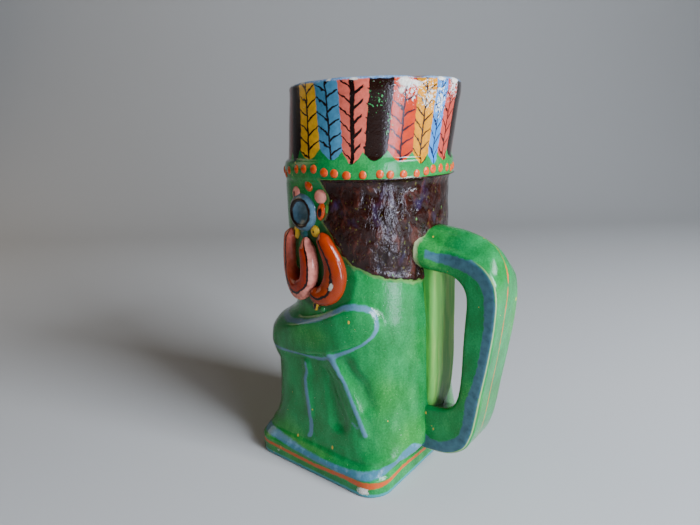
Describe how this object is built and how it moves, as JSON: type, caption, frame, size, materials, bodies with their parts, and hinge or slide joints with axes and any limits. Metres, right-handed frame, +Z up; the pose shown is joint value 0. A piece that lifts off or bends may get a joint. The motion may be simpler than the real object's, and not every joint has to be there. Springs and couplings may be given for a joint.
{
  "type": "head mug",
  "caption": "Tall glazed earthenware mug shaped as a seated figure on a square plinth, with a feather crown for its rim and a closed D handle at the back.",
  "frame": {"origin": "middle of the plinth's flat underside", "axes": "+Z up through the open mouth, the figure's face toward -Y, the handle toward +Y, the figure's left side toward +X"},
  "size_m": [0.0922, 0.1309, 0.2],
  "materials": {
    "green_glazed_earthenware": null
  },
  "bodies": {
    "root": {"head_mug": "green_glazed_earthenware"}
  },
  "joints": []
}
